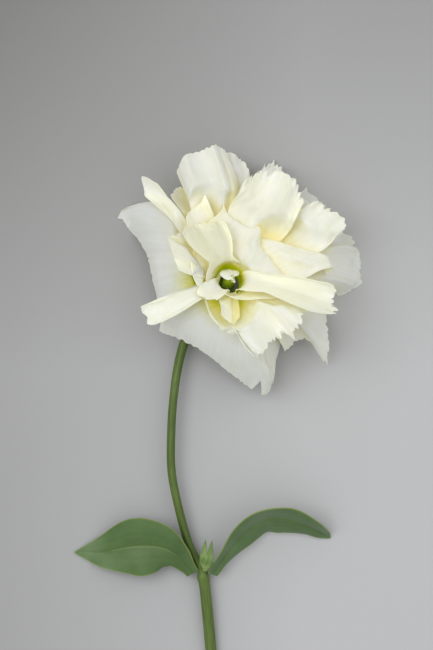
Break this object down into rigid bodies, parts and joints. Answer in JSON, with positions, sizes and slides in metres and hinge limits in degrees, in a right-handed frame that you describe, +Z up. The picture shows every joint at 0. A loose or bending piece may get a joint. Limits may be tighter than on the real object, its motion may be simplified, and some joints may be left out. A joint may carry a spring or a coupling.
{
  "type": "cut lisianthus flower",
  "caption": "Cut double lisianthus with fringed white petals round a green throat, on a curved green stem with two leaves and a tiny side shoot, lying face up.",
  "frame": {"origin": "bottom centre of the bounding box, on the surface that the flower lies on", "axes": "+Y along the stem from its cut end towards the bloom, +Z up from the surface, +X across the bloom"},
  "size_m": [0.0996, 0.193, 0.0469],
  "materials": {
    "petal": "soft, thin and slightly translucent white petal, turning yellow-green at its base",
    "sepal": "matt green sepal",
    "stem": "smooth waxy green stem",
    "leaf": "satin blue-green leaf",
    "pistil": "smooth yellow-green pistil"
  },
  "bodies": {
    "root": {"inner_petal_1": "petal", "inner_petal_2": "petal", "inner_petal_3": "petal", "inner_petal_4": "petal", "inner_petal_5": "petal", "inner_petal_6": "petal", "inner_petal_7": "petal", "middle_petal_1": "petal", "middle_petal_2": "petal", "middle_petal_3": "petal", "middle_petal_4": "petal", "middle_petal_5": "petal", "outer_petal_1": "petal", "outer_petal_2": "petal", "outer_petal_3": "petal", "outer_petal_4": "petal", "outer_petal_5": "petal", "outer_petal_6": "petal", "outer_petal_7": "petal", "outer_petal_8": "petal", "outer_petal_9": "petal", "outer_petal_10": "petal", "outer_petal_11": "petal", "sepal_1": "sepal", "sepal_2": "sepal", "sepal_3": "sepal", "sepal_4": "sepal", "sepal_5": "sepal", "pistil": "pistil", "stem": "stem", "left_leaf": "leaf", "right_leaf": "leaf", "axillary_shoot": "leaf"}
  },
  "joints": []
}
